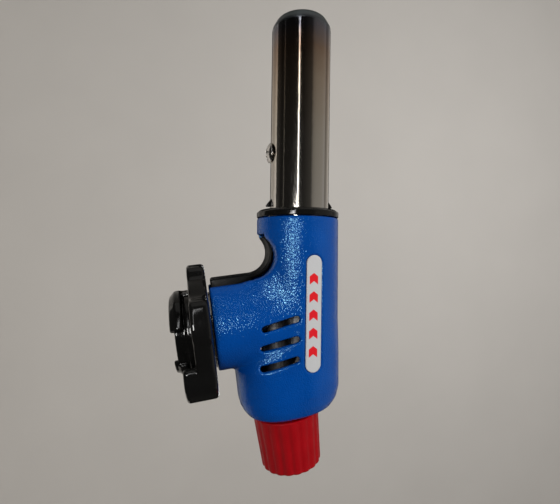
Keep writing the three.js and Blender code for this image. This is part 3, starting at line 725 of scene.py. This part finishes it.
def vent_field(x, y, z):
    """Three slanted slots through both sides, spaced out along the barrel."""
    w, _, s = BARREL.local(x, y, z)
    slots = []
    for row in (1, 0, -1):
        u, v = w + VENT_W, s - VENT_S - row * VENT_PITCH
        c, d = math.cos(VENT_SLOPE), math.sin(VENT_SLOPE)
        slots.append(pill_field(c * u - d * v, d * u + c * v, VENT_LENGTH, VENT_WIDTH))
    return np.minimum(np.minimum(slots[0], slots[1]), slots[2])


def label_field(x, y, z, margin):
    """The outline that both labels share, grown by a margin."""
    w, _, s = BARREL.local(x, y, z)
    return pill_field(s - LABEL_S, w + LABEL_W, LABEL_LENGTH + 2 * margin, LABEL_WIDTH + 2 * margin)


def hollow_field(out, x, y, z):
    """The room inside: a wall's thickness in, the tube's seat, the guide's seat and the arms' path."""
    w, a, s = BARREL.local(x, y, z)
    inside = meet(out + WALL, s - TUBE_BACK + 0.5, 0.3)
    tube = np.maximum(np.hypot(w, a) - TUBE_R - TUBE_GAP, TUBE_BACK - 1 - s)
    guide = np.maximum(np.hypot(x, y) - BRANCH_R + WALL, z - BRANCH_END - GUIDE_SEAT)
    arms = box_field(x, y, z, *ARM_PATH)
    return np.minimum(np.minimum(inside, tube), np.minimum(guide, arms))


def with_screw_posts(shell, out, x, y, z):
    """Adds a post round each shell screw's head, with a counterbore down to its seat."""
    for sx, sz in SHELL_SCREWS:
        corner = (sx, sz) == CORNER_SCREW
        reach = np.hypot(x - sx, z - sz)
        post = np.maximum(reach - (CORNER_POST_R if corner else POST_R), y - SCREW_SEAT - POST_FLOOR)
        cover = CORNER_POST_END - y if corner else out + 0.05
        shell = union(shell, meet(post, cover, 0.4), 0.2)
        shell = carve(shell, np.maximum(reach - COUNTERBORE_R, y - SCREW_SEAT), 0.4)
    return shell


def shell_field(x, y, z, side, pitch):
    """One moulded half of the body: side is 1 for the left half and -1 for the right."""
    out = outside_field(x, y, z, pitch)
    shell = carve(out, hollow_field(out, x, y, z), 0.4)
    if side < 0:
        shell = with_screw_posts(shell, out, x, y, z)
    shell = carve(shell, box_field(x, y, z, *TRIGGER_SLOT), 0.5)
    w, a, s = SPINDLE.local(x, y, z)
    shell = carve(shell, np.maximum(np.hypot(w, a) - KNOB_BORE_R, KNOB_BORE_START - s), 0.6)
    shell = carve(shell, vent_field(x, y, z), EDGE)
    recess = meet(label_field(x, y, z, LABEL_GAP), -(out + LABEL_SINK), 0.05)
    shell = carve(shell, recess, 0.35)
    return meet(shell, SEAM_GAP - side * y, 0.45)


def make_shell(name, side):
    low = (-35.0, -0.9 if side > 0 else -16.4, 5.9)
    high = (39.2, 16.4 if side > 0 else 0.9, 59.6)
    x, y, z = sample_box(low, high, SHELL_PITCH)
    field = shell_field(x, y, z, side, SHELL_PITCH)
    finish(net_object(name, field, low, SHELL_PITCH), "blue_plastic", "housing",
           "shell_left" if side > 0 else "shell_right")


def make_label(name, side, replaced):
    """A pill of film pressed into its recess, which follows the curve of the shell round it."""
    near, far = sorted((side * 11.5, side * 16.2))
    low = (-19.5, near, 34.5)
    x, y, z = sample_box(low, (26.0, far, 46.0), LABEL_PITCH)
    out = outside_field(x, y, z, LABEL_PITCH)
    film = meet(out - FILM_PROUD, -FILM_DEEP - out, 0.1)
    film = meet(film, label_field(x, y, z, 0), 0.16)
    finish(net_object(name, film, low, LABEL_PITCH), "label", "housing", replaced)


# ------------------------------------------------------------------ flame tube and burner

def ear(side):
    """A pressed-out ear that keeps the collar on the tube."""
    root = COLLAR_TOP + EAR_AT
    outline = [(TUBE_R - 0.4, root), (TUBE_R + 1.5, root), (TUBE_R + 1.6, root + 0.5),
               (TUBE_R - 0.4, root + 3.1)]
    sides = [[BARREL.place(side * r, across, s) for r, s in outline] for across in (-EAR_HALF, EAR_HALF)]
    thing = prism("ear", sides, 0.25, 2, every_edge=True)
    thing.data.polygons.foreach_set("use_smooth", [True] * len(thing.data.polygons))
    return thing


def make_tube():
    """The tube and its ears. Rings part way up keep its faces short."""
    bore = TUBE_R - TUBE_WALL
    rings = (60, 90)
    outline = [(bore, TUBE_BACK, 0), (TUBE_R, TUBE_BACK, 0)]
    outline += [(TUBE_R, at, 0) for at in rings]
    outline += [(TUBE_R, TUBE_TIP - 3.0, 2.0), (TUBE_R - 1.6, TUBE_TIP - 0.2, 0.8),
                (TUBE_R - 2.3, TUBE_TIP - 0.2, 0.3), (TUBE_R - 1.4, TUBE_TIP - 2.2, 0.3),
                (bore, TUBE_TIP - 4.5, 0)]
    outline += [(bore, at, 0) for at in reversed(rings)]
    wall = lathe("flame_tube_polished", outline, BARREL, 160)
    finish(joined("collar_ears", [ear(1), ear(-1)]), "black_gloss", "housing")
    finish(wall, "stainless", "housing", "flame_tube")


def make_collar():
    inner, base = TUBE_R + 0.4, BODY_FRONT + 0.3
    thing = lathe("front_collar_moulded", [
        (inner, base, 0), (COLLAR_R, base, 0.3), (COLLAR_R, COLLAR_TOP - 0.9, 0.6),
        (COLLAR_R - 1.2, COLLAR_TOP, 0.5), (inner + 0.5, COLLAR_TOP, 0.3), (inner, COLLAR_TOP - 0.6, 0.1)],
        BODY, 160)
    finish(thing, "black_gloss", "housing", "front_collar")


def make_holder():
    """The disc that the flame burns on, with its main ports and a ring of pilot holes."""
    low = (54.0, -10.6, 35.4)
    x, y, z = sample_box(low, (65.0, 10.6, 57.2), HOLDER_PITCH)
    w, a, s = BARREL.local(x, y, z)
    reach = np.hypot(w, a)
    disc = meet(meet(reach - TUBE_R + TUBE_WALL + 0.3, s - HOLDER_AT - 3, 0.5), HOLDER_AT - 4 - s, 0.3)
    disc = carve(disc, np.maximum(reach - 5.4, s - HOLDER_AT + 0.5), 0.3)
    disc = carve(disc, np.maximum(reach - 3.0, HOLDER_AT - 1 - s), 0.5)
    for count, circle, radius, turn, edge in HOLDER_HOLES:
        for n in range(count):
            angle = 2 * math.pi * (n + turn) / count
            hole = np.hypot(w - circle * math.cos(angle), a - circle * math.sin(angle)) - radius
            disc = carve(disc, hole, edge)
    finish(net_object("flame_holder_ported", disc, low, HOLDER_PITCH), "brass", "housing", "flame_holder")


def make_holder_screw():
    """Domed head with a cross recess, and its shank through the tube's wall."""
    low = (56.6, -4.6, 32.4)
    x, y, z = sample_box(low, (66.4, 4.6, 41.6), SCREW_PITCH)
    w, a, s = BARREL.local(x, y, z)
    along = s - HOLDER_AT
    reach = np.hypot(a, along)
    dome = np.sqrt(reach ** 2 + (w - DOME_CENTRE) ** 2) - DOME_R
    head = meet(meet(reach - SCREW_HEAD_R, SCREW_BASE - w, 0.2), dome, 0.6)
    cross = np.minimum(np.maximum(np.abs(a) - CROSS_HALF, np.abs(along) - CROSS_REACH),
                       np.maximum(np.abs(along) - CROSS_HALF, np.abs(a) - CROSS_REACH))
    cross = np.minimum(cross, reach - 0.9)
    head = carve(head, np.maximum(cross, 11.8 + 0.2 * reach - w), 0.25)
    shank = np.maximum(np.maximum(reach - SCREW_SHANK_R, SCREW_END - w), w - 11.5)
    finish(net_object("flame_holder_screw_pan", np.minimum(head, shank), low, SCREW_PITCH),
           "zinc_screw", "housing", "flame_holder_screw")


# ------------------------------------------------------------------ knob

def fluted(r, s, angle):
    """The knob's radius: flutes that run out at its shoulder and inside its rim."""
    flute = 0.5 - 0.5 * np.cos(FLUTES * angle)
    share = np.clip((r - 8.8) / 2.0, 0, 1) * np.clip((s - KNOB_START - 0.2) / 0.9, 0, 1)
    return r - FLUTE_DEPTH * flute ** 1.6 * share


def make_knob():
    """Fluted drum that tapers to its end, with its neck and flange inside the shells."""
    dish = KNOB_END - 0.9
    drum = lathe("gas_knob_fluted", [
        (KNOB_HOLE_R, KNOB_FLANGE_START, 0.1), (KNOB_FLANGE_R, KNOB_FLANGE_START, 0.2),
        (KNOB_FLANGE_R, KNOB_FLANGE_END, 0.2), (KNOB_NECK_R, KNOB_FLANGE_END, 0.1),
        (KNOB_NECK_R, KNOB_START, 0.1), (KNOB_R, KNOB_START, 0.5),
        (KNOB_R - 0.65, (KNOB_START + KNOB_END) / 2, 0), (KNOB_END_R, KNOB_END, 0.8),
        (8.9, KNOB_END, 0.3), (8.4, dish, 0.3), (5.6, dish, 0), (3.2, dish, 0.3),
        (KNOB_HOLE_R, KNOB_END - 1.6, 0.2)], SPINDLE, 320, fluted)
    cap = lathe("knob_cap", [
        (0.02, 50.6, 0), (2.6, 50.6, 0), (2.6, KNOB_END - 1.3, 0.3), (0.02, KNOB_END - 1.2, 0)], SPINDLE, 48)
    finish(joined("gas_knob_fluted", [drum, cap]), "red_plastic", "knob", "gas_knob")


# ------------------------------------------------------------------ lock ring

def wedge(x, y, middle, width):
    """Distance round the axis to a sector given in degrees, negative inside."""
    turned = np.arctan2(y, x) - math.radians(middle)
    apart = np.abs((turned + np.pi) % (2 * np.pi) - np.pi)
    return (apart - math.radians(width) / 2) * np.hypot(x, y)


def wheel_field(x, y, z):
    """Five finger lobes, one of them thicker."""
    reach = np.hypot(x, y)
    angle = np.arctan2(y, x)
    swing = np.tanh(2.2 * np.cos(RING_LOBES * (angle - RING_TURN))) / math.tanh(2.2)
    rim = (RING_LOBE_R + RING_VALLEY_R) / 2 + (RING_LOBE_R - RING_VALLEY_R) / 2 * swing
    lobes = (reach - rim) * 0.85
    wheel = meet(meet(lobes, z - RING_TOP, 1.6), -z, 0.9)
    thick = meet(lobes, wedge(x, y, *THICK_LOBE), 1.2)
    thick = meet(meet(thick, THICK_END - z, 1.2), THICK_INNER_R - reach, 0.8)
    return np.minimum(wheel, np.maximum(thick, z - 1))


def lug_field(x, y, z, middle, width, r):
    """A bayonet lug on the boss, which leads in with a chamfer at its end."""
    reach = np.hypot(x, y)
    chamfer = (reach - r - (z - BOSS_END - 2.0)) * 0.7071
    lug = meet(meet(reach - r, chamfer, 0.3), wedge(x, y, middle, width), 0.5)
    return meet(meet(lug, z - LUG_TOP, 0.3), BOSS_END - z, 0.4)


def make_ring():
    """The lobed wheel on a stepped boss, which has three bayonet lugs, a stop and a shallow gap."""
    low = (-24.8, -24.8, -7.8)
    x, y, z = sample_box(low, (24.8, 24.8, 7.0), RING_PITCH)
    reach = np.hypot(x, y)
    boss = meet(np.maximum(reach - BOSS_R, z - 1), BOSS_END - z, 0.6)
    step = meet(np.maximum(reach - STEP_R, z - 1), STEP_END - z, 0.5)
    ring = union(union(wheel_field(x, y, z), step, 0.4), boss, 0.4)
    for lug in LUGS:
        ring = union(ring, lug_field(x, y, z, *lug), 0.3)
    gap = meet(wedge(x, y, *BOSS_GAP), z - BOSS_END - BOSS_GAP_DEEP, 0.3)
    ring = carve(ring, gap, 0.4)
    stop = meet(meet(reach - STOP_R, wedge(x, y, *STOP), 0.5), BOSS_END + 2 - z, 0.4)
    ring = union(ring, np.maximum(stop, z - STOP_TOP), 0.3)
    ring = carve(ring, reach - RING_BORE_R, 0.5)
    ring = carve(ring, np.maximum(reach - SOCKET_R, z - SOCKET_TOP), 0.4)
    finish(net_object("lock_ring_moulded", ring, low, RING_PITCH), "black_gloss", "lock", "lock_ring")


# ------------------------------------------------------------------ trigger

def arc(x, z, r, start, end, steps):
    angles = np.radians(np.linspace(start, end, steps + 1))
    return [(x + r * math.cos(t), z + r * math.sin(t)) for t in angles]


def make_trigger():
    """The face curves out of the neck into the finger notch; two arms run back past the valve."""
    front = TRIGGER_X - TRIGGER_R
    outline = [(13.2, 7.7), (front - 0.9, 7.7), (front - 0.3, 7.9), (front, 8.5)]
    outline += arc(TRIGGER_X, TRIGGER_Z, TRIGGER_R, 180, TRIGGER_TIP, 28)
    outline += arc(TRIGGER_X, TRIGGER_Z, TRIGGER_R + TRIGGER_THICK, TRIGGER_TIP, 180, 28)
    outline += [(14.8, 23), (9.4, 23), (9.4, 10.2), (13.2, 10.2)]
    parts = [extruded("trigger_face", outline, TRIGGER_HALF, 0.45)]
    for side in (1, -1):
        arm = extruded("trigger_arm", upright_box(ARM_BACK, ARM_FRONT), ARM_HALF, 0.25, 2)
        arm.data.transform(Matrix.Translation((0, side * ARM_Y * MM, 0)))
        parts.append(arm)
    parts.append(extruded("trigger_bar", upright_box(ARM_BACK, BAR_FRONT), BAR_HALF, 0.25, 2))
    finish(joined("trigger_moulded", parts), "trigger_plastic", "trigger", "trigger")


def upright_box(back, front):
    """The outline of an arm or the bar, seen from the side."""
    return [(back, ARM_LOW), (front, ARM_LOW), (front, ARM_HIGH), (back, ARM_HIGH)]


# ------------------------------------------------------------------ camera, lights and stage

def facing(place, right, up, back):
    """A matrix that stands a camera or light at a place in millimetres."""
    turn = Matrix(np.stack([right, up, back], 1).tolist()).to_4x4()
    return Matrix.Translation(Vector(place) * MM) @ turn


def looking(place, target):
    """Stands a light at a place so that it shines at a target."""
    back = Vector(place) - Vector(target)
    return Matrix.Translation(Vector(place) * MM) @ back.to_track_quat("Z", "Y").to_matrix().to_4x4()


def add_camera():
    data = bpy.data.cameras.new("camera")
    data.sensor_width = SENSOR
    data.lens = LENS
    data.clip_start = 0.005
    data.clip_end = 10
    camera = linked("camera", data)
    camera.matrix_world = facing(AIM + DISTANCE * BACK, RIGHT, UPWARDS, BACK)
    bpy.context.scene.camera = camera


def add_light(name, matrix, size, size_y, power, colour=(1, 1, 1), glossy=True):
    """A panel that the camera doesn't see, with its sides in millimetres and its power in watts."""
    data = bpy.data.lights.new(name, "AREA")
    data.shape = "RECTANGLE"
    data.size = size * MM
    data.size_y = size_y * MM
    data.energy = power
    data.color = colour
    light = linked(name, data)
    light.matrix_world = matrix
    light.visible_camera = False
    light.visible_glossy = glossy


def add_lights():
    """A lamp close to the camera gives the highlights, and strips put streaks on the polished tube."""
    lamp_place = AIM + 200 * BACK - 46 * RIGHT + 14 * UPWARDS
    add_light("lamp", looking(lamp_place, AIM), 44, 44, 0.155, (1.0, 0.985, 0.96))
    rear_place = AIM - 330 * BACK + 60 * RIGHT + 200 * UPWARDS
    add_light("soft_rear", looking(rear_place, AIM), 300, 300, 0.4, (1.0, 0.98, 0.95), glossy=False)
    wash_place = AIM + 300 * BACK + 560 * RIGHT + 200 * UPWARDS
    wash_target = AIM - 560 * BACK + 300 * RIGHT + 80 * UPWARDS
    add_light("wall_wash", looking(wash_place, wash_target), 500, 500, 5.5, WARM, glossy=False)
    strip_place = AIM + 230 * round_tube(-6) + 150 * UPWARDS
    add_light("strip", facing(strip_place, RIGHT, UPWARDS, BACK), 10, 240, 0.045)
    floor_place = Matrix.Translation(Vector((0, 300, -420)) * MM)
    add_light("floor_wash", floor_place, 1500, 1500, 4.5, WARM, glossy=False)
    add_light("far_strip", facing(AIM - 260 * BACK, -RIGHT, UPWARDS, -BACK), 12, 400, 0.1)


def round_tube(degrees):
    """A direction square to the tube, turned from the camera's towards the right."""
    turn = math.radians(degrees)
    return math.cos(turn) * BACK + math.sin(turn) * RIGHT


def dim_card(name, glow):
    """A dim room on one side, bent round the tube, that only reflections see.

    glow lists angles from the camera's direction, and how bright the room is at each.
    """
    radius, reach = 330, 700
    stops = sorted({angle for angle, _ in glow} | set(range(glow[0][0], glow[-1][0], 5)))
    rows = [[AIM + along * UPWARDS + radius * round_tube(angle) for angle in stops]
            for along in (-reach, reach)]
    n = len(stops)
    quads = [[i, i + 1, n + i + 1, n + i] for i in range(n - 1)]
    card = mesh_object(name, np.array(rows).reshape(-1, 3), quads)
    only_reflected(card, 2 * list(np.interp(stops, *zip(*glow))))


def low_card():
    """The same dim room, seen in what faces down towards the floor."""
    corners = ((-1, -1), (1, -1), (1, 1), (-1, 1))
    ends = [AIM - 500 * UPWARDS + 330 * (a * RIGHT + b * BACK) for a, b in corners]
    only_reflected(mesh_object("low_flag", ends, [[0, 1, 2, 3]]), [0.03] * 4)


def only_reflected(card, glow):
    """Lights a card by a glow at each of its vertices, and hides it from all but reflections."""
    card.data.attributes.new("glow", "FLOAT", "POINT").data.foreach_set("value", glow)
    look = Look(card.name, (0, 0, 0), 1.0, Specular_IOR_Level=0.0, Emission_Color=(1, 0.95, 0.87, 1))
    look.join(look.node("ShaderNodeAttribute", attribute_name="glow").outputs["Fac"], "Emission Strength")
    card.data.materials.append(look.material)
    card.visible_camera = False
    card.visible_diffuse = False
    card.visible_shadow = False
    card.visible_transmission = False


def stage_plane(name, points, base, shade):
    """A matt plane whose colour wanders between base and a shade of it."""
    plane = mesh_object(name, points, [[0, 1, 2, 3]])
    look = Look(name, base, 0.9)
    look.join(look.mix(look.clouds(120, 3), tuple(c * shade for c in base), base), "Base Color")
    plane.data.materials.append(look.material)


def add_stage():
    wall, floor, reach = -560, -620, 4000
    corners = ((-reach, -reach), (reach, -reach), (reach, reach), (-reach, reach))
    stage_plane("wall", [(a, wall, b) for a, b in corners], (0.57, 0.55, 0.525), 0.97)
    stage_plane("floor", [(a, b, floor) for a, b in corners], (0.78, 0.76, 0.73), 0.98)
    world = bpy.data.worlds.new("studio")
    world.use_nodes = True
    background = world.node_tree.nodes["Background"]
    background.inputs["Color"].default_value = (0.80, 0.775, 0.74, 1)
    background.inputs["Strength"].default_value = 0.38
    bpy.context.scene.world = world
    dim_card("front_flag", [
        (-105, 0.05), (-80, 0.012), (-66, 0.012), (-65.6, 0.3), (-65, 0.3), (-64.6, 0.012),
        (10, 0.012), (42, 0.05), (50, 0.19), (62, 0.24), (95, 0.28)])
    dim_card("rear_flag", [(150, 0.012), (205, 0.012)])
    low_card()


# ------------------------------------------------------------------ assembly

bpy.context.scene.view_settings.view_transform = "Standard"
add_camera()
dress_cad_nodes()
make_shell("shell_left_moulded", 1)
make_shell("shell_right_moulded", -1)
make_label("label_left_film", 1, "label_left")
make_label("label_right_film", -1, "label_right")
make_tube()
make_collar()
make_holder()
make_holder_screw()
make_knob()
make_ring()
make_trigger()
add_lights()
add_stage()
